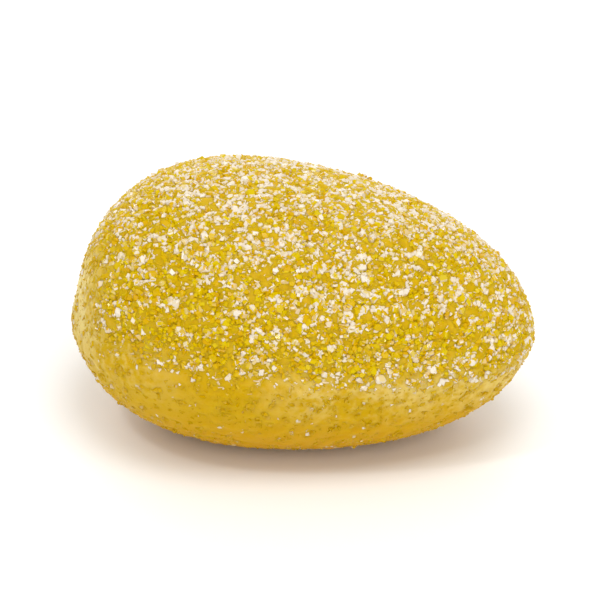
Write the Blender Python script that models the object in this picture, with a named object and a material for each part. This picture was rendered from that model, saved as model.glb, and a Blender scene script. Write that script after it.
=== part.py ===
"""A jelly egg: a starch-moulded fruit jelly rolled in granulated sugar.

Units are metres, +Z is up. The origin is on the ground under the middle of the egg, which lies
on its back. The broad end points along -X and the narrow end along +X.
"""

import math

import bmesh
import bpy
import numpy as np
from mathutils import Matrix, Vector

# The jelly's form. The dome is the side that the starch shaped, the back is the side that was open.
# The rim lies a little lower than the back is deep, as the egg's weight presses a flat spot.
LENGTH = 0.0294
WIDTH = 0.0193
DOME_HEIGHT = 0.00985
BACK_DEPTH = 0.008
RIM_HEIGHT = 0.0074
PLAN_FULLNESS = 2.13
SIDE_FULLNESS = 2.12
PLAN_TAPER = 0.15
DOME_TAPER = 0.25
BACK_TAPER = 0.12

# A soft ridge runs round the egg where the dome meets the back.
RIDGE_RISE = 0.00025
RIDGE_WIDTH = 0.0012

# The jelly sets a little unevenly: a few slow waves over its skin.
LUMP_RISE = 0.00009
LUMP_COUNT = 14
LUMPS_ROUND = (2.0, 6.0)
LUMP_SEED = 35

# The sugar is a crust of small grains, thinner on the back.
BALL_SUBDIVISIONS = 5
CRUST_RISE = 0.00032
BACK_CRUST_SHARE = 0.55
BACK_STARTS = 0.4
CRUST_STARTS = 0.0006
CRUST_SEED = 11

# The largest crystals, and clumps of smaller ones, stand out of the crust.
CRYSTAL_COUNT = 260
CRYSTAL_SIZE = (0.0005, 0.0008)
CRYSTAL_SIDES = (1.0, 0.86, 0.72)
CRYSTAL_LEAN = math.radians(13)
CRYSTAL_SINK = 0.18
CRYSTAL_SPREAD = 0.45
CRYSTAL_CLEAR_OF_GROUND = 0.0012
CRYSTAL_SEED = 23

JELLY_YELLOW = (0.72, 0.46, 0.035, 1.0)
SUGARED_ROUGHNESS = 0.55
CRYSTAL_EDGE = math.radians(35)

# TINY keeps a division off zero, and a slope is read over a short step of direction.
TINY = 1e-9
SLOPE_STEP = 1e-3
NEARLY_UPRIGHT = 0.9
CUT_TOLERANCE = 1e-7


def clear_scene():
    for obj in list(bpy.data.objects):
        bpy.data.objects.remove(obj, do_unlink=True)


def sugared_jelly_material():
    """Lemon-yellow pectin jelly under its sugar."""
    material = bpy.data.materials.new("sugared_yellow_jelly")
    material.use_nodes = True
    shader = material.node_tree.nodes["Principled BSDF"]
    shader.inputs["Base Color"].default_value = JELLY_YELLOW
    shader.inputs["Roughness"].default_value = SUGARED_ROUGHNESS
    shader.inputs["Metallic"].default_value = 0.0
    return material


def lumps(directions):
    """The slow waves of the skin: a sum of sines of the direction, each along its own axis."""
    draw = np.random.default_rng(LUMP_SEED)
    waves = draw.normal(size=(LUMP_COUNT, 3))
    waves /= np.linalg.norm(waves, axis=1)[:, None]
    waves *= draw.uniform(*LUMPS_ROUND, size=LUMP_COUNT)[:, None]
    phases = draw.uniform(0, 2 * math.pi, size=LUMP_COUNT)
    return LUMP_RISE * np.sin(directions @ waves.T + phases).sum(axis=1)


def superellipse(across, along, fullness):
    """How far a superellipse of size one reaches: over 2 the fullness makes it plumper."""
    return (np.abs(across) ** fullness + np.abs(along) ** fullness) ** (1 / fullness)


def egg_skin(directions):
    """The bare jelly's surface, one point for each unit direction from the middle of its rim.

    The plan is a superellipse that narrows towards +X. From the rim to the top and to the back the
    sides are superellipses too, of their own heights, lower towards +X. The ridge and the lumps
    move each point along its direction.
    """
    x, y, z = directions.T
    level = np.hypot(x, y)
    plan = np.maximum(superellipse(x, y, PLAN_FULLNESS), TINY)
    side = superellipse(level, z, SIDE_FULLNESS)
    half_height = np.where(
        z > 0, DOME_HEIGHT * (1 - DOME_TAPER * x), BACK_DEPTH * (1 - BACK_TAPER * x)
    )
    points = np.column_stack(
        [
            LENGTH / 2 * x * level / plan / side,
            WIDTH / 2 * y * (1 - PLAN_TAPER * x) * level / plan / side,
            half_height * z / side,
        ]
    )
    ridge = RIDGE_RISE * np.exp(-((points[:, 2] / RIDGE_WIDTH) ** 2))
    points += directions * (ridge + lumps(directions))[:, None]
    points[:, 2] += RIM_HEIGHT
    return points


def egg_normals(directions):
    """Outward normals of the skin, from two short steps across each direction."""
    upright = np.abs(directions[:, 2:]) > NEARLY_UPRIGHT
    first = np.cross(directions, np.where(upright, [[1.0, 0.0, 0.0]], [[0.0, 0.0, 1.0]]))
    first /= np.linalg.norm(first, axis=1)[:, None]
    second = np.cross(directions, first)

    def along(side):
        moved = directions + SLOPE_STEP * side
        return egg_skin(moved / np.linalg.norm(moved, axis=1)[:, None])

    here = egg_skin(directions)
    normals = np.cross(along(first) - here, along(second) - here)
    return normals / np.linalg.norm(normals, axis=1)[:, None]


def crust_share(directions, heights):
    """How thick the sugar lies: all on the dome, less on the back, none where the egg rests."""
    under = np.clip(-directions[:, 2] / BACK_STARTS, 0, 1)
    off_ground = np.clip(heights / CRUST_STARTS, 0, 1)
    return (1 - (1 - BACK_CRUST_SHARE) * under) * off_ground


def sugared_body(collection, material):
    """A ball of even triangles, moved onto the skin and roughened by the sugar."""
    ball = bmesh.new()
    bmesh.ops.create_icosphere(ball, subdivisions=BALL_SUBDIVISIONS, radius=1.0)
    directions = np.array([vertex.co.normalized() for vertex in ball.verts])
    skin = egg_skin(directions)
    rise = np.random.default_rng(CRUST_SEED).uniform(0, CRUST_RISE, size=len(directions))
    crust = egg_normals(directions) * (rise * crust_share(directions, skin[:, 2]))[:, None]
    for vertex, place in zip(ball.verts, skin + crust):
        vertex.co = place
    mesh = bpy.data.meshes.new("jelly_egg")
    ball.to_mesh(mesh)
    ball.free()
    body = bpy.data.objects.new("jelly_egg", mesh)
    body.data.materials.append(material)
    collection.objects.link(body)
    return body


def even_directions(count, draw):
    """Directions on a spiral from pole to pole, each nudged a little, so that none bunch up."""
    turn = math.pi * (3 - math.sqrt(5))
    steps = np.arange(count) + 0.5
    z = 1 - 2 * steps / count
    angle = turn * steps
    flat = np.sqrt(1 - z**2)
    spiral = np.column_stack([flat * np.cos(angle), flat * np.sin(angle), z])
    spacing = math.sqrt(4 * math.pi / count)
    nudged = spiral + draw.uniform(-1, 1, size=spiral.shape) * CRYSTAL_SPREAD * spacing
    return nudged / np.linalg.norm(nudged, axis=1)[:, None]


def crystal_mesh(material):
    """A sugar crystal of unit size: a block whose ends lean."""
    block = bmesh.new()
    bmesh.ops.create_cube(block, size=1.0)
    bmesh.ops.scale(block, vec=CRYSTAL_SIDES, verts=block.verts)
    lean = Matrix.Shear("YZ", 4, (0.0, math.tan(CRYSTAL_LEAN)))
    bmesh.ops.transform(block, matrix=lean, verts=block.verts)
    mesh = bpy.data.meshes.new("sugar_crystal")
    block.to_mesh(mesh)
    block.free()
    mesh.materials.append(material)
    return mesh


def scatter_crystals(collection, material):
    """The largest crystals, turned at random and sunk into the crust."""
    draw = np.random.default_rng(CRYSTAL_SEED)
    directions = even_directions(CRYSTAL_COUNT, draw)
    places = egg_skin(directions)
    normals = egg_normals(directions)
    sizes = draw.uniform(*CRYSTAL_SIZE, size=CRYSTAL_COUNT)
    turns = draw.uniform(0, 2 * math.pi, size=(CRYSTAL_COUNT, 3))
    mesh = crystal_mesh(material)
    for number, (place, normal, size, turn) in enumerate(zip(places, normals, sizes, turns)):
        if place[2] < CRYSTAL_CLEAR_OF_GROUND:
            continue
        crystal = bpy.data.objects.new(f"crystal_{number}", mesh)
        crystal.location = Vector(place - normal * size * CRYSTAL_SINK)
        crystal.rotation_euler = turn
        crystal.scale = (size, size, size)
        collection.objects.link(crystal)


def join_crystals(body, crystals):
    """One union of the body and every crystal, kept as the body's own mesh."""
    union = body.modifiers.new("crystals", "BOOLEAN")
    union.operation = "UNION"
    union.solver = "EXACT"
    union.operand_type = "COLLECTION"
    union.collection = crystals
    evaluated = body.evaluated_get(bpy.context.evaluated_depsgraph_get())
    joined = bpy.data.meshes.new_from_object(evaluated)
    body.modifiers.clear()
    body.data = joined
    joined.name = "jelly_egg"
    for crystal in list(crystals.objects):
        bpy.data.objects.remove(crystal, do_unlink=True)
    bpy.data.collections.remove(crystals)


def keep_outer_shell(body):
    """Only the largest shell stays, so a hollow sealed between crystals is filled."""
    shape = bmesh.new()
    shape.from_mesh(body.data)
    unseen = set(shape.verts)
    shells = []
    while unseen:
        front = [unseen.pop()]
        shell = set(front)
        while front:
            edges = front.pop().link_edges
            beside = {vertex for edge in edges for vertex in edge.verts} & unseen
            unseen -= beside
            shell |= beside
            front.extend(beside)
        shells.append(shell)
    largest = max(shells, key=len)
    scraps = [vertex for vertex in shape.verts if vertex not in largest]
    bmesh.ops.delete(shape, geom=scraps, context="VERTS")
    shape.to_mesh(body.data)
    shape.free()


def press_rest_flat(body):
    """The back is pressed flat where the egg lies: all below the ground is cut off and closed."""
    shape = bmesh.new()
    shape.from_mesh(body.data)
    parts = shape.verts[:] + shape.edges[:] + shape.faces[:]
    cut = bmesh.ops.bisect_plane(
        shape,
        geom=parts,
        dist=CUT_TOLERANCE,
        plane_co=(0, 0, 0),
        plane_no=(0, 0, 1),
        clear_inner=True,
    )
    rims = [part for part in cut["geom_cut"] if isinstance(part, bmesh.types.BMEdge)]
    bmesh.ops.holes_fill(shape, edges=rims, sides=0)
    shape.to_mesh(body.data)
    shape.free()
    body.data.shade_smooth()
    body.data.set_sharp_from_angle(angle=CRYSTAL_EDGE)


def build_jelly_egg():
    clear_scene()
    collection = bpy.data.collections.new("jelly_egg")
    crystals = bpy.data.collections.new("crystals")
    bpy.context.scene.collection.children.link(collection)
    bpy.context.scene.collection.children.link(crystals)
    material = sugared_jelly_material()
    body = sugared_body(collection, material)
    scatter_crystals(crystals, material)
    join_crystals(body, crystals)
    keep_outer_shell(body)
    press_rest_flat(body)


build_jelly_egg()
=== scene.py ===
"""A yellow jelly egg rolled in granulated sugar, on a pale table under soft studio light.

Metres, +Z up, in the solid's own frame: the broad end points along -X, the narrow end along +X,
and the egg lies on the flat spot of its back at z = 0.
"""

import math

import bpy
import numpy as np
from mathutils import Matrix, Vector


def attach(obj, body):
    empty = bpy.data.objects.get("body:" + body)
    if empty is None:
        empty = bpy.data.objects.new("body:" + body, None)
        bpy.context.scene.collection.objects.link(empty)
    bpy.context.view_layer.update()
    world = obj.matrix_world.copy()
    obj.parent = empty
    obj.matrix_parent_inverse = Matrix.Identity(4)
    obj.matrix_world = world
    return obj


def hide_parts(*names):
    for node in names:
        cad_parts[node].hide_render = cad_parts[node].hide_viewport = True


MM = 0.001

# The jelly's form, the same sizes as the solid's. The dome is the side that the starch shaped, the
# back is the side that was open.
LENGTH = 29.4 * MM
WIDTH = 19.3 * MM
DOME_HEIGHT = 9.85 * MM
BACK_DEPTH = 8.0 * MM
RIM_HEIGHT = 7.4 * MM
PLAN_FULLNESS = 2.13
SIDE_FULLNESS = 2.12
PLAN_TAPER = 0.15
DOME_TAPER = 0.25
BACK_TAPER = 0.12

# A soft ridge runs round the egg where the dome meets the back.
RIDGE_RISE = 0.25 * MM
RIDGE_WIDTH = 1.2 * MM

# The jelly sets a little unevenly: a few slow waves over its skin, each going through some radians
# over one unit of direction.
LUMP_RISE = 0.09 * MM
LUMP_COUNT = 14
LUMPS_ROUND = (2.0, 6.0)
LUMP_SEED = 35

# The skin is dimpled by the grains that were pressed into it, more so on the sugared dome. A pattern
# is given by how many waves it sums, their shortest and longest wavelength, and its random seed.
DIMPLES = {"count": 80, "wavelengths": (0.7 * MM, 1.4 * MM), "seed": 8}
DIMPLE_RISE = 0.03 * MM
DIMPLE_RISE_ON_DOME = 0.05 * MM
BODY_RINGS = 160
BODY_SIDES = 320

# How many directions are tried to find the most skin that one bit of direction has.
SKIN_TRIED = 4000

# Sugar crystals one unit across, which lean a little: the radius and the height of each ring of
# their corners, and the number of sides. One kind comes to a tip at both ends. The top of a crystal
# is about half a unit above its middle.
BEVELLED = {"radii": (0.42, 0.56, 0.56, 0.42), "heights": (-0.5, -0.3, 0.3, 0.5), "sides": 6}
TAPERED = {"radii": (0.45, 0.56, 0.40), "heights": (-0.5, 0.1, 0.5), "sides": 5}
PRISM = {"radii": (0.56, 0.44), "heights": (-0.42, 0.46), "sides": 5}
BLOCK = {"radii": (0.62, 0.54), "heights": (-0.42, 0.42), "sides": 4}
OCTAHEDRON = {"radii": (0.55,), "heights": (0.0,), "sides": 4, "tips": (-0.55, 0.55)}
CRYSTAL_TOP = 0.5
CRYSTAL_LEAN = math.radians(13)

# The largest crystals stand where the solid has them, each as a clump of grains.
LARGEST_COUNT = 260
LARGEST_SIZE = (0.5 * MM, 0.8 * MM)
LARGEST_SIDES = (1.0, 0.86, 0.72)
LARGEST_SINK = 0.18
LARGEST_SPREAD = 0.45
LARGEST_CLEAR_OF_GROUND = 1.2 * MM
LARGEST_SEED = 23

# A clump's grains: how many there are, how far from its middle they lie and how large they are, as
# shares of its size, and how deep each sits as a share of its own.
CLUMP_GRAINS = 4
CLUMP_REACH = 0.34
CLUMP_GRAIN_SHARE = (0.4, 0.58)
CLUMP_SINK = 0.1

# The other grains, by kind: how many lie on a square millimetre of the dome, their usual size,
# how much the size varies, how deep they sit as a share of their size, and their shape.
COARSE = {"per_mm2": 2.2, "size": 0.48 * MM, "vary": 0.1, "sink": 0.28, "seed": 31, "shape": BEVELLED}
FINE = {"per_mm2": 9.0, "size": 0.38 * MM, "vary": 0.14, "sink": 0.27, "seed": 32, "shape": PRISM}
SMALL = {"per_mm2": 13.0, "size": 0.27 * MM, "vary": 0.18, "sink": 0.2, "seed": 33, "shape": BLOCK}
DUST = {"per_mm2": 12.0, "size": 0.14 * MM, "vary": 0.25, "sink": 0.1, "seed": 34, "shape": OCTAHEDRON}
GRAIN_SPREAD = 0.5
GRAIN_SIDES = (0.7, 1.15)

# The whiteness of a grain, from clear to white, and of its faces, which also holds painted light:
# painted reflections make some faces and the side faces whiter, some faces get painted glints, and
# those that are hardly white count as clear.
WHITE_RARITY = 5.0
WHITE_MOST = 4.4
WHITE_GATHERED = 2.2
FACES_DIFFER = 6.0
FACE_RARITY = 6.0
SIDES_WHITER = 2.4
GLINT_SHARE = 0.16
GLINT_WHITE = 2.5
CLEAR_UNDER = 0.12

# The sugar turns clearer from one height down to another, sooner towards the broad end and the
# near side: its height is counted in a direction that leans the other way.
USUAL_WHITE_AT = 15.0 * MM
CLEAREST_UNDER = 9.0 * MM
CLEAREST = 0.22
WHITER_TOWARDS = np.array([0.25, 0.12, 1.0])

# The sugar lies thick on the dome down to a soft line a little above the rim, higher at the broad
# end, and thinner, deeper and clearer below it.
SUGAR_LINE = 8.2 * MM
SUGAR_LINE_TILT = -0.09
SUGAR_LINE_SOFTNESS = 0.45 * MM
SUGAR_BELOW = 0.25
SINK_BELOW = 0.18
WHITE_BELOW = 0.13

# Along the line the sugar is whiter, from one place along the egg on towards the narrow end.
WHITER_ALONG_LINE = 2.6
LINE_WHITE_FROM = -4.0 * MM
LINE_WHITE_SOFTNESS = 1.0 * MM

# The sugar is rubbed off round a spot at the broad end.
RUBBED_SPOT = (-14.0 * MM, -3.5 * MM, 9.7 * MM)
RUBBED_RADIUS = 3.6 * MM

# Sugar gathers in specks of a grain or two, in clumps of some millimetres and in wider patches,
# each with its weight. The seeds of the last two put the whitest patches roughly where the
# photographed egg has them.
GATHERINGS = [
    (0.85, {"count": 80, "wavelengths": (0.5 * MM, 1.2 * MM), "seed": 19}),
    (0.45, {"count": 60, "wavelengths": (2.0 * MM, 5.0 * MM), "seed": 8919}),
    (0.15, {"count": 30, "wavelengths": (6.0 * MM, 12.0 * MM), "seed": 3567}),
]

# How thickly the sugar lies, as a share of the most: usually, what its gathering adds or takes, and
# at least.
USUAL_SHARE = 0.9
SHARE_GATHERED = 0.2
LEAST_SHARE = 0.45

# What melted into the skin dried as a frost: thin on the dome, and milky from the sugar's line
# down to some way below it, least at one place along the egg and most some way from there, above
# all on the side of the broad end. The milky part is partly a painted sheen, paler towards the
# ends of the egg where the skin turns away.
FROST_ON_DOME = 0.04
FROST_BELOW = 0.03
MILKY = 0.75
MILKY_AT_BROAD_END = 0.9
MILKY_DEPTH = 3.8 * MM
MILKY_LEAST_AT = -4.0 * MM
MILKY_REACH = 6.0 * MM

# The frost is patchy: two patterns, of wide clouds and of fine spots, are added up, and it starts
# at one sum and is whole at another. The spots stand out of the skin as well.
CLOUD_SIZE = 3.0 * MM
CLOUD_DETAIL = 2.0
SPOT_SIZE = 0.4 * MM
SPOT_DETAIL = 3.0
FROST_STARTS = 0.85
FROST_WHOLE = 1.2
SPOT_RISE = 0.08 * MM
SPOT_STRENGTH = 0.6

# The jelly's gold: deepest at its foot, lighter from some height up, and on the dome between two
# shades. The deeper gold low down is painted shade, for light that goes through more jelly and
# reaches the foot less. The frost on it is pale, and below the sugar's line it is partly a painted
# sheen.
SHADED_FOOT_GOLD = "#C38E00"
SIDE_GOLD = "#CAA200"
DEEPEST_UNDER = 1.5 * MM
LIGHTEST_FROM = 5.5 * MM
DOME_GOLDS = ("#C29C00", "#CCA500")
FROST_AND_SHEEN_WHITE = "#ECD68C"

# The clear grains show the jelly's gold, between two shades on the dome and one below the line.
CLEAR_ON_DOME = ("#D1B700", "#CB9E00")
CLEAR_BELOW = "#C49C00"
SUGAR_WHITE = "#E4D9C7"

# How the jelly and the sugar take the light. Their gloss is low, because light comes from all
# sides here, and would lay a haze over their colours.
JELLY_FINISH = {
    "Roughness": 0.5,
    "IOR": 1.44,
    "Specular IOR Level": 0.1,
    "Subsurface Weight": 0.85,
    "Subsurface Radius": (1.0, 0.85, 0.4),
    "Subsurface Scale": 0.6 * MM,
}
SUGAR_FINISH = {
    "Roughness": 0.08,
    "IOR": 1.56,
    "Specular IOR Level": 0.12,
    "Subsurface Weight": 0.15,
    "Subsurface Radius": (1.0, 1.0, 1.0),
    "Subsurface Scale": 0.15 * MM,
}

# A Mix node gives its colour at the third of its outputs.
MIXED = 2

# The photograph's view: its height above the table, its turn towards the narrow end, and how wide
# the picture is at the middle of the egg, which the camera looks at through a long lens.
VIEW_HEIGHT = math.radians(28.9)
VIEW_TURN = math.radians(8.7)
VIEW_WIDTH = 39 * MM
LENS = 400.0
SENSOR = 36.0
NEAREST_SEEN = 10.0 * MM
AIM = Vector((0.1 * MM, 0.0, 8.4 * MM))

# Square softboxes and a small lamp, aimed at the egg: place, side in metres, power in watts.
LAMPS = {
    "key_softbox": ((0.05, -0.09, 0.31), 0.16, 0.415),
    "fill_softbox": ((0.16, -0.30, 0.18), 0.25, 0.34),
    "back_softbox": ((-0.12, 0.32, 0.10), 0.30, 0.52),
    "small_lamp": ((-0.12, -0.14, 0.28), 0.03, 0.12),
}
LIGHT_WHITE = "#FFFFFF"
ROOM_LIGHT = 0.65

# The table is wide enough to fill the picture, and lies a hair below the egg.
FLOOR_SIZE = 1.2
FLOOR_GAP = 0.02 * MM
TABLE_WHITE = "#F9F9F8"
TABLE_ROUGHNESS = 0.6

# TINY keeps a division off zero, and a slope is read over a short step of direction.
TINY = 1e-9
SLOPE_STEP = 1e-3
NEARLY_UPRIGHT = 0.9


def linear(hex_colour):
    """An sRGB hex colour as linear RGBA."""
    parts = [int(hex_colour[i : i + 2], 16) / 255 for i in (1, 3, 5)]
    return [p / 12.92 if p <= 0.04045 else ((p + 0.055) / 1.055) ** 2.4 for p in parts] + [1.0]


def waves(places, count, radians, seed):
    """The sum of some sines of the place, each along its own random axis.

    Over one unit of place a sine goes through a number of radians between the two given ones.
    """
    draw = np.random.default_rng(seed)
    axes = draw.normal(size=(count, 3))
    axes /= np.linalg.norm(axes, axis=1)[:, None]
    axes *= draw.uniform(*radians, size=count)[:, None]
    phases = draw.uniform(0, 2 * math.pi, size=count)
    return np.sin(places @ axes.T + phases).sum(axis=1)


def pattern(places, kind):
    """A random pattern in space, which swings by about 1 to either side of 0."""
    shortest, longest = kind["wavelengths"]
    radians = (2 * math.pi / longest, 2 * math.pi / shortest)
    return waves(places, kind["count"], radians, kind["seed"]) * math.sqrt(2 / kind["count"])


def superellipse(across, along, fullness):
    """How far a superellipse of size one reaches: over 2 the fullness makes it plumper."""
    return (np.abs(across) ** fullness + np.abs(along) ** fullness) ** (1 / fullness)


def egg_skin(directions):
    """The jelly's surface, one point for each unit direction from the middle of its rim.

    The plan is a superellipse that narrows towards +X. From the rim to the top and to the back the
    sides are superellipses too, of their own heights, lower towards +X. The ridge and the lumps
    move each point along its direction.
    """
    x, y, z = directions.T
    level = np.hypot(x, y)
    plan = np.maximum(superellipse(x, y, PLAN_FULLNESS), TINY)
    side = superellipse(level, z, SIDE_FULLNESS)
    half_height = np.where(
        z > 0, DOME_HEIGHT * (1 - DOME_TAPER * x), BACK_DEPTH * (1 - BACK_TAPER * x)
    )
    points = np.column_stack(
        [
            LENGTH / 2 * x * level / plan / side,
            WIDTH / 2 * y * (1 - PLAN_TAPER * x) * level / plan / side,
            half_height * z / side,
        ]
    )
    ridge = RIDGE_RISE * np.exp(-((points[:, 2] / RIDGE_WIDTH) ** 2))
    lumps = LUMP_RISE * waves(directions, LUMP_COUNT, LUMPS_ROUND, LUMP_SEED)
    points += directions * (ridge + lumps)[:, None]
    points[:, 2] += RIM_HEIGHT
    return points


def skin_slopes(directions):
    """The skin's outward normals, and how much skin there is for each bit of direction, from two
    short steps across each direction."""
    upright = np.abs(directions[:, 2:]) > NEARLY_UPRIGHT
    first = np.cross(directions, np.where(upright, [[1.0, 0.0, 0.0]], [[0.0, 0.0, 1.0]]))
    first /= np.linalg.norm(first, axis=1)[:, None]
    second = np.cross(directions, first)

    def along(side):
        moved = directions + SLOPE_STEP * side
        return egg_skin(moved / np.linalg.norm(moved, axis=1)[:, None])

    here = egg_skin(directions)
    normals = np.cross(along(first) - here, along(second) - here)
    areas = np.linalg.norm(normals, axis=1)
    return normals / areas[:, None], areas / SLOPE_STEP**2


def even_directions(count, spread, draw):
    """Directions on a spiral from pole to pole, each nudged by a share of the spacing."""
    turn = math.pi * (3 - math.sqrt(5))
    steps = np.arange(count) + 0.5
    z = 1 - 2 * steps / count
    flat = np.sqrt(1 - z**2)
    spiral = np.column_stack([flat * np.cos(turn * steps), flat * np.sin(turn * steps), z])
    spacing = math.sqrt(4 * math.pi / count)
    nudged = spiral + draw.uniform(-1, 1, size=spiral.shape) * spread * spacing
    return nudged / np.linalg.norm(nudged, axis=1)[:, None]


def turned(angles):
    """One turn for each row of angles, about X, then Y, then Z, as 3 x 3 matrices."""
    (sx, sy, sz), (cx, cy, cz) = np.sin(angles).T, np.cos(angles).T
    return np.stack(
        [
            np.stack([cy * cz, sx * sy * cz - cx * sz, cx * sy * cz + sx * sz], axis=1),
            np.stack([cy * sz, sx * sy * sz + cx * cz, cx * sy * sz - sx * cz], axis=1),
            np.stack([-sy, sx * cy, cx * cy], axis=1),
        ],
        axis=1,
    )


def above_line(places):
    """How far each place is above the sugar's line, in steps of the line's softness."""
    return (places[:, 2] - SUGAR_LINE - SUGAR_LINE_TILT * places[:, 0]) / SUGAR_LINE_SOFTNESS


def on_dome(places):
    """1 on the sugared dome, 0 below the sugar's line and where it is rubbed off, with soft steps
    between."""
    off = np.linalg.norm(places - RUBBED_SPOT, axis=1) / RUBBED_RADIUS
    return (1 - np.exp(-(off**4))) / (1 + np.exp(-above_line(places)))


def gathered(places):
    """How much more sugar has gathered at each place than is usual, from about -1 to 1."""
    return sum(weight * pattern(places, kind) for weight, kind in GATHERINGS)


def sugar_share(places):
    """How thickly the sugar lies, from 0 to 1: more where it gathers, and less below its line."""
    share = np.clip(USUAL_SHARE + SHARE_GATHERED * gathered(places), LEAST_SHARE, 1)
    return share * (SUGAR_BELOW + (1 - SUGAR_BELOW) * on_dome(places))


def frost_and_sheen_share(places):
    """How much of the skin's colour is the frost's, at most: its share on the dome above the line,
    and below it a milky share that fades with depth and grows with the distance along the egg from
    where it is least. The milky share is partly a painted sheen."""
    dome = on_dome(places)
    depth = np.clip(-above_line(places) * SUGAR_LINE_SOFTNESS / MILKY_DEPTH, 0, 1)
    along = np.clip(np.abs(places[:, 0] - MILKY_LEAST_AT) / MILKY_REACH, 0, 1)
    most = np.where(places[:, 0] < MILKY_LEAST_AT, MILKY_AT_BROAD_END, MILKY)
    # The milky share is partly a painted sheen, paler towards the ends of the egg where the skin turns
    # away.
    milky_and_sheen = FROST_BELOW + (most - FROST_BELOW) * (1 - depth) * along**2
    return FROST_ON_DOME * dome + milky_and_sheen * (1 - dome)


def side_faces(rings, sides):
    """Quads between rings of points, numbered ring by ring from the lowest, facing outwards when
    each ring goes round anticlockwise seen from above."""
    here = np.arange(sides)
    beside = (here + 1) % sides
    starts = np.arange(rings - 1)[:, None] * sides
    corners = [starts + here, starts + beside, starts + sides + beside, starts + sides + here]
    return np.stack(corners, axis=2).reshape(-1, 4)


def tip_faces(rings, sides):
    """Triangles from the lowest and the highest ring to a point at each end, which are numbered
    after the rings."""
    here = np.arange(sides)
    beside = (here + 1) % sides
    last = (rings - 1) * sides
    lower = np.column_stack([beside, here, np.full(sides, rings * sides)])
    upper = np.column_stack([last + here, last + beside, np.full(sides, rings * sides + 1)])
    return np.vstack([lower, upper])


def end_faces(rings, sides):
    """One flat face on the lowest ring and one on the highest."""
    here = np.arange(sides)
    return np.stack([here[::-1], (rings - 1) * sides + here])


def make_piece(name, points, faces, material, smooth):
    """A mesh of these points and groups of faces, riding on the egg's body in the solid's place."""
    corners = np.concatenate([group.ravel() for group in faces])
    lengths = np.concatenate([np.full(len(group), group.shape[1]) for group in faces])
    starts = np.cumsum(lengths) - lengths
    mesh = bpy.data.meshes.new(name)
    mesh.vertices.add(len(points))
    mesh.vertices.foreach_set("co", points.astype(np.float32).ravel())
    mesh.loops.add(len(corners))
    mesh.loops.foreach_set("vertex_index", corners.astype(np.int32))
    mesh.polygons.add(len(starts))
    mesh.polygons.foreach_set("loop_start", starts.astype(np.int32))
    mesh.polygons.foreach_set("use_smooth", np.full(len(starts), smooth))
    mesh.update(calc_edges=True)
    mesh.materials.append(material)
    piece = bpy.data.objects.new(name, mesh)
    bpy.context.scene.collection.objects.link(piece)
    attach(piece, "root")
    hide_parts("jelly_egg")
    return piece


def keep_values(piece, name, domain, values):
    """Stores one number for each point or face of the piece, for its material to read."""
    kept = piece.data.attributes.new(name, "FLOAT", domain)
    kept.data.foreach_set("value", values.astype(np.float32))


def make_body(material):
    """The jelly: the skin's function over rings and sides of directions, dimpled, its back flat
    where it lies on the table."""
    rise = (np.arange(BODY_RINGS) + 0.5) / BODY_RINGS * math.pi - math.pi / 2
    turn = np.arange(BODY_SIDES) / BODY_SIDES * 2 * math.pi
    rise, turn = np.meshgrid(rise, turn, indexing="ij")
    grid = np.stack([np.cos(rise) * np.cos(turn), np.cos(rise) * np.sin(turn), np.sin(rise)], axis=2)
    directions = np.vstack([grid.reshape(-1, 3), [[0, 0, -1], [0, 0, 1]]])
    normals, _ = skin_slopes(directions)
    points = egg_skin(directions)
    dome = on_dome(points)
    rises = DIMPLE_RISE + (DIMPLE_RISE_ON_DOME - DIMPLE_RISE) * dome
    points += normals * (rises * pattern(points, DIMPLES))[:, None]
    points[:, 2] = np.maximum(points[:, 2], 0)
    faces = [side_faces(BODY_RINGS, BODY_SIDES), tip_faces(BODY_RINGS, BODY_SIDES)]
    body = make_piece("jelly_body", points, faces, material, smooth=True)
    keep_values(body, "sugared", "POINT", dome)
    keep_values(body, "frost_and_sheen", "POINT", frost_and_sheen_share(points))


def crystal(radii, heights, sides, tips=None):
    """A crystal one unit across: rings of corners of these radii at these heights, closed by flat
    ends or by tips at two more heights, leaning a little as sugar crystals do."""
    turn = (np.arange(sides) + 0.5) / sides * 2 * math.pi
    radii = np.array(radii)[:, None]
    levels = np.repeat(np.array(heights)[:, None], sides, axis=1)
    points = np.stack([radii * np.cos(turn), radii * np.sin(turn), levels], axis=2).reshape(-1, 3)
    ends = end_faces(len(radii), sides)
    if tips:
        points = np.vstack([points, [[0, 0, tips[0]], [0, 0, tips[1]]]])
        ends = tip_faces(len(radii), sides)
    points[:, 0] += math.tan(CRYSTAL_LEAN) * points[:, 2]
    groups = [side_faces(len(radii), sides), ends]
    return points, [group for group in groups if len(group)]


def up_dome(places):
    """How white the sugar is for its height alone: CLEAREST low down, 1 at the usual height, and
    more above that."""
    height = places @ WHITER_TOWARDS
    rise = np.maximum((height - CLEAREST_UNDER) / (USUAL_WHITE_AT - CLEAREST_UNDER), 0)
    return CLEAREST + (1 - CLEAREST) * rise


def whiteness(places, dome, draw):
    """How white each crystal is: most are nearly clear, and more are white where sugar gathers,
    high up on the dome and along the sugar's line."""
    white = WHITE_MOST * draw.uniform(size=len(places)) ** WHITE_RARITY
    white *= np.exp(WHITE_GATHERED * gathered(places))
    along = WHITER_ALONG_LINE / (1 + np.exp((LINE_WHITE_FROM - places[:, 0]) / LINE_WHITE_SOFTNESS))
    white *= up_dome(places) + along * np.exp(-(above_line(places) ** 2))
    return white * (WHITE_BELOW + (1 - WHITE_BELOW) * dome)


def for_each_face(values, groups):
    """Each crystal's number, repeated for every face of the crystal."""
    return np.concatenate([np.repeat(values, len(group)) for group in groups])


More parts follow.
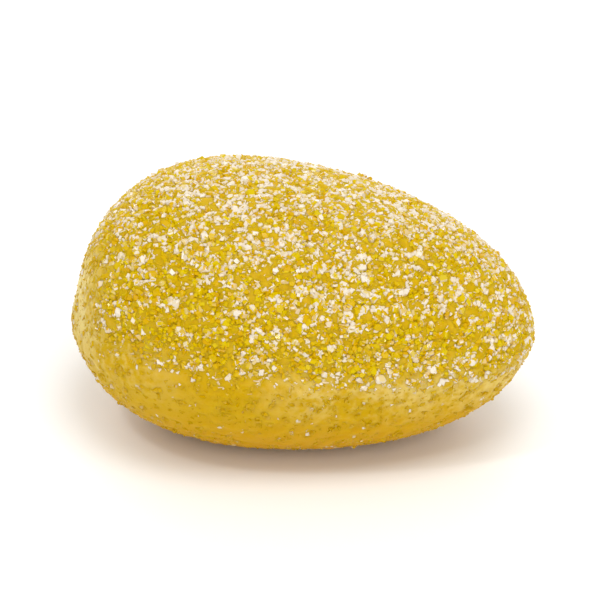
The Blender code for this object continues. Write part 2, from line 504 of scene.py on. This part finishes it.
def scatter(name, places, normals, sizes, stretches, angles, sink, shape, material, draw):
    """One piece of many crystals: the shape at each place, stretched, turned and sunk.

    The faces of a crystal differ in whiteness, as painted reflections of what is in and behind the
    crystal. A side face is painted whiter than one that lies on top, through which the jelly shows,
    and some faces get painted glints, more of them higher up on the dome.
    """
    points, faces = crystal(**shape)
    dome = on_dome(places)
    scaled = points[None] * (sizes[:, None] * stretches)[:, None, :]
    placed = np.einsum("nij,nkj->nki", turned(angles), scaled)
    lift = np.einsum("nki,ni->nk", placed, normals) / sizes[:, None]
    white = whiteness(places, dome, draw)
    # Painted glints: the share of faces painted white as glints, more of them higher up on the dome,
    # as if lit from above.
    glinting = GLINT_SHARE * dome * up_dome(places)
    sinks = sizes * (sink + SINK_BELOW * (1 - dome))
    placed += (places - normals * sinks[:, None])[:, None, :]
    kept = placed[:, :, 2].min(axis=1) > 0
    placed, lift, dome = placed[kept], lift[kept], dome[kept]
    white, glinting = white[kept], glinting[kept]
    firsts = np.arange(len(placed))[:, None, None] * len(points)
    groups = [(group[None] + firsts).reshape(-1, group.shape[1]) for group in faces]
    piece = make_piece(name, placed.reshape(-1, 3), groups, material, smooth=False)
    whites = []
    for group in faces:
        # Painted reflections and glints: random faces and side faces are painted whiter, and glinting
        # faces are painted white.
        reflected = FACES_DIFFER * draw.uniform(size=(len(placed), len(group))) ** FACE_RARITY
        side_reflection = SIDES_WHITER * (CRYSTAL_TOP - lift[:, group].mean(axis=2))
        glint = GLINT_WHITE * (draw.uniform(size=reflected.shape) < glinting[:, None])
        whites.append((white[:, None] * (reflected + side_reflection) + glint).ravel())
    whites = np.maximum(np.concatenate(whites) - CLEAR_UNDER, 0)
    keep_values(piece, "whiteness", "FACE", 1 - np.exp(-whites))
    keep_values(piece, "sugared", "FACE", for_each_face(dome, faces))
    keep_values(piece, "golden", "FACE", for_each_face(draw.uniform(size=len(placed)), faces))


def largest_clumps(material):
    """Grains stuck together, where the solid has its largest crystals: some grains within each of
    its leaning blocks."""
    draw = np.random.default_rng(LARGEST_SEED)
    directions = even_directions(LARGEST_COUNT, LARGEST_SPREAD, draw)
    places = egg_skin(directions)
    normals, _ = skin_slopes(directions)
    sizes = draw.uniform(*LARGEST_SIZE, size=LARGEST_COUNT)
    angles = draw.uniform(0, 2 * math.pi, size=(LARGEST_COUNT, 3))
    stood = places[:, 2] >= LARGEST_CLEAR_OF_GROUND
    places, normals, sizes, angles = places[stood], normals[stood], sizes[stood], angles[stood]
    within = draw.uniform(-CLUMP_REACH, CLUMP_REACH, size=(len(places), CLUMP_GRAINS, 3))
    offsets = np.einsum("nij,nkj->nki", turned(angles), within * LARGEST_SIDES)
    middles = places - normals * (sizes * LARGEST_SINK)[:, None]
    count = len(places) * CLUMP_GRAINS
    scatter(
        "sugar_clumps",
        (middles[:, None] + offsets * sizes[:, None, None]).reshape(-1, 3),
        np.repeat(normals, CLUMP_GRAINS, axis=0),
        np.repeat(sizes, CLUMP_GRAINS) * draw.uniform(*CLUMP_GRAIN_SHARE, size=count),
        draw.uniform(*GRAIN_SIDES, size=(count, 3)),
        draw.uniform(0, 2 * math.pi, size=(count, 3)),
        CLUMP_SINK,
        TAPERED,
        material,
        draw,
    )


def grains(name, kind, material):
    """Grains of one kind, as many on each square millimetre as the sugar's share calls for."""
    draw = np.random.default_rng(kind["seed"])
    most = skin_slopes(even_directions(SKIN_TRIED, 0, draw))[1].max()
    tried = int(kind["per_mm2"] / MM**2 * 4 * math.pi * most)
    directions = even_directions(tried, GRAIN_SPREAD, draw)
    places = egg_skin(directions)
    normals, areas = skin_slopes(directions)
    kept = draw.uniform(size=tried) < areas / most * sugar_share(places)
    places, normals = places[kept], normals[kept]
    count = len(places)
    sizes = kind["size"] * np.exp(draw.normal(size=count) * kind["vary"])
    stretches = draw.uniform(*GRAIN_SIDES, size=(count, 3))
    angles = draw.uniform(0, 2 * math.pi, size=(count, 3))
    sink, shape = kind["sink"], kind["shape"]
    scatter(name, places, normals, sizes, stretches, angles, sink, shape, material, draw)


def add(tree, kind, settings=None, values=None, links=None):
    """Adds a node to the tree with its settings, its inputs' values and its inputs' links."""
    made = tree.nodes.new(kind)
    for name, value in (settings or {}).items():
        setattr(made, name, value)
    for name, value in (values or {}).items():
        made.inputs[name].default_value = value
    for name, source in (links or {}).items():
        tree.links.new(source, made.inputs[name])
    return made


def new_material(name, finish):
    """A material whose shader has this finish, and with it its node tree and that shader."""
    material = bpy.data.materials.new(name)
    material.use_nodes = True
    shader = material.node_tree.nodes["Principled BSDF"]
    for socket, value in finish.items():
        shader.inputs[socket].default_value = value
    return material, material.node_tree, shader


def starch_moulded_jelly():
    """Lemon jelly set with pectin in starch: light goes a little way into it and comes out a deep
    golden yellow, and the skin is softly glossy between the grains. The gold is painted deeper
    towards the foot, as painted shade for light that goes through more jelly and reaches low down
    less. Some of the sugar has melted into the skin and dried there as a pale, patchy frost, and
    below the sugar's line that pale colour is partly a painted sheen."""
    material, tree, shader = new_material("starch_moulded_pectin_jelly", JELLY_FINISH)
    place = add(tree, "ShaderNodeTexCoord").outputs["Object"]
    sugared = add(tree, "ShaderNodeAttribute", settings={"attribute_name": "sugared"})
    share = add(tree, "ShaderNodeAttribute", settings={"attribute_name": "frost_and_sheen"})
    clouds = add(
        tree,
        "ShaderNodeTexNoise",
        values={"Scale": 1 / CLOUD_SIZE, "Detail": CLOUD_DETAIL},
        links={"Vector": place},
    )
    spots = add(
        tree,
        "ShaderNodeTexNoise",
        values={"Scale": 1 / SPOT_SIZE, "Detail": SPOT_DETAIL},
        links={"Vector": place},
    )
    patchy = add(
        tree,
        "ShaderNodeMath",
        settings={"operation": "ADD"},
        links={0: clouds.outputs["Fac"], 1: spots.outputs["Fac"]},
    )
    height = add(tree, "ShaderNodeSeparateXYZ", links={"Vector": place}).outputs["Z"]
    # The bare jelly's gold is painted deeper towards the foot: painted shade for the light that goes
    # through more jelly and reaches low down less.
    foot_shade_fade = add(
        tree,
        "ShaderNodeMapRange",
        values={"From Min": DEEPEST_UNDER, "From Max": LIGHTEST_FROM},
        links={"Value": height},
    )
    bare = add(
        tree,
        "ShaderNodeMix",
        settings={"data_type": "RGBA"},
        values={"A": linear(SHADED_FOOT_GOLD), "B": linear(SIDE_GOLD)},
        links={"Factor": foot_shade_fade.outputs["Result"]},
    )
    cloudy = add(
        tree,
        "ShaderNodeMix",
        settings={"data_type": "RGBA"},
        values={"A": linear(DOME_GOLDS[0]), "B": linear(DOME_GOLDS[1])},
        links={"Factor": clouds.outputs["Fac"]},
    )
    jelly = add(
        tree,
        "ShaderNodeMix",
        settings={"data_type": "RGBA"},
        links={"Factor": sugared.outputs["Fac"], "A": bare.outputs[MIXED], "B": cloudy.outputs[MIXED]},
    )
    # The frost's pale colour, below the sugar's line partly a painted sheen, is laid on in patches.
    frost_and_sheen = add(
        tree,
        "ShaderNodeMapRange",
        values={"From Min": FROST_STARTS, "From Max": FROST_WHOLE},
        links={"Value": patchy.outputs["Value"], "To Max": share.outputs["Fac"]},
    )
    frosted_and_sheened = add(
        tree,
        "ShaderNodeMix",
        settings={"data_type": "RGBA"},
        values={"B": linear(FROST_AND_SHEEN_WHITE)},
        links={"Factor": frost_and_sheen.outputs["Result"], "A": jelly.outputs[MIXED]},
    )
    bump = add(
        tree,
        "ShaderNodeBump",
        values={"Strength": SPOT_STRENGTH, "Distance": SPOT_RISE},
        links={"Height": spots.outputs["Fac"]},
    )
    tree.links.new(frosted_and_sheened.outputs[MIXED], shader.inputs["Base Color"])
    tree.links.new(bump.outputs["Normal"], shader.inputs["Normal"])
    return material


def granulated_sugar():
    """Granulated cane sugar: clear crystals that pick up the jelly's yellow, a deeper gold the more
    jelly the light went through, some of them frosted white where they are worn or dry, with painted
    glints and painted reflections on their faces in the same white."""
    material, tree, shader = new_material("granulated_cane_sugar", SUGAR_FINISH)
    tone = add(tree, "ShaderNodeAttribute", settings={"attribute_name": "whiteness"})
    sugared = add(tree, "ShaderNodeAttribute", settings={"attribute_name": "sugared"})
    golden = add(tree, "ShaderNodeAttribute", settings={"attribute_name": "golden"})
    shade = add(
        tree,
        "ShaderNodeMix",
        settings={"data_type": "RGBA"},
        values={"A": linear(CLEAR_ON_DOME[0]), "B": linear(CLEAR_ON_DOME[1])},
        links={"Factor": golden.outputs["Fac"]},
    )
    clear = add(
        tree,
        "ShaderNodeMix",
        settings={"data_type": "RGBA"},
        values={"A": linear(CLEAR_BELOW)},
        links={"Factor": sugared.outputs["Fac"], "B": shade.outputs[MIXED]},
    )
    # The white mixes frosted grains with the painted reflections and glints.
    colour = add(
        tree,
        "ShaderNodeMix",
        settings={"data_type": "RGBA"},
        values={"B": linear(SUGAR_WHITE)},
        links={"Factor": tone.outputs["Fac"], "A": clear.outputs[MIXED]},
    )
    tree.links.new(colour.outputs[MIXED], shader.inputs["Base Color"])
    return material


def table_top():
    """Matt white laminate, which takes the egg's soft shadow and mirrors nothing."""
    finish = {"Base Color": linear(TABLE_WHITE), "Roughness": TABLE_ROUGHNESS}
    return new_material("matt_white_laminate", finish)[0]


def make_floor():
    """The table top, which is the stage and no part of the egg."""
    bpy.ops.mesh.primitive_plane_add(size=FLOOR_SIZE, location=(0, 0, -FLOOR_GAP))
    floor = bpy.context.object
    floor.name = "table_top"
    floor.data.materials.append(table_top())


def aim(thing, target):
    """Turns a camera or lamp to face the target."""
    away = thing.location - target
    thing.rotation_euler = away.to_track_quat("Z", "Y").to_euler()


def make_lamp(name, place, size, power):
    """A square white lamp at this place, aimed at the egg."""
    lamp = bpy.data.lights.new(name, "AREA")
    lamp.shape = "SQUARE"
    lamp.size = size
    lamp.energy = power
    lamp.color = linear(LIGHT_WHITE)[:3]
    holder = bpy.data.objects.new(name, lamp)
    bpy.context.scene.collection.objects.link(holder)
    holder.location = place
    aim(holder, AIM)


def make_camera():
    """The camera, so far away along the photograph's line of sight that the lens shows the view's
    width."""
    camera = bpy.data.cameras.new("camera")
    camera.lens = LENS
    camera.sensor_width = SENSOR
    camera.clip_start = NEAREST_SEEN
    holder = bpy.data.objects.new("camera", camera)
    bpy.context.scene.collection.objects.link(holder)
    distance = VIEW_WIDTH * LENS / SENSOR
    level = distance * math.cos(VIEW_HEIGHT)
    up = distance * math.sin(VIEW_HEIGHT)
    away = Vector((level * math.sin(VIEW_TURN), -level * math.cos(VIEW_TURN), up))
    holder.location = AIM + away
    aim(holder, AIM)
    bpy.context.scene.camera = holder


def light_the_table():
    """Soft light from the whole room and from the lamps."""
    world = bpy.data.worlds.new("studio")
    bpy.context.scene.world = world
    world.use_nodes = True
    room = world.node_tree.nodes["Background"]
    room.inputs["Color"].default_value = linear(LIGHT_WHITE)
    room.inputs["Strength"].default_value = ROOM_LIGHT
    for name, (place, size, power) in LAMPS.items():
        make_lamp(name, place, size, power)
    bpy.context.scene.view_settings.view_transform = "Standard"


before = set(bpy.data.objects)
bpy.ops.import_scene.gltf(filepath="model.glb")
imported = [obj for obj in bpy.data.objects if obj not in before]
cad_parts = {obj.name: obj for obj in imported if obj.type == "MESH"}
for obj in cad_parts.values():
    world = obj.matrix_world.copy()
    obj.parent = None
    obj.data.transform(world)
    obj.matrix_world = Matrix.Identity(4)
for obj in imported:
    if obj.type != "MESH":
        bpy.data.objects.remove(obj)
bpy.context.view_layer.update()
make_camera()
light_the_table()
make_floor()
make_body(starch_moulded_jelly())
sugar = granulated_sugar()
largest_clumps(sugar)
grains("coarse_sugar_grains", COARSE, sugar)
grains("fine_sugar_grains", FINE, sugar)
grains("small_sugar_grains", SMALL, sugar)
grains("sugar_dust", DUST, sugar)
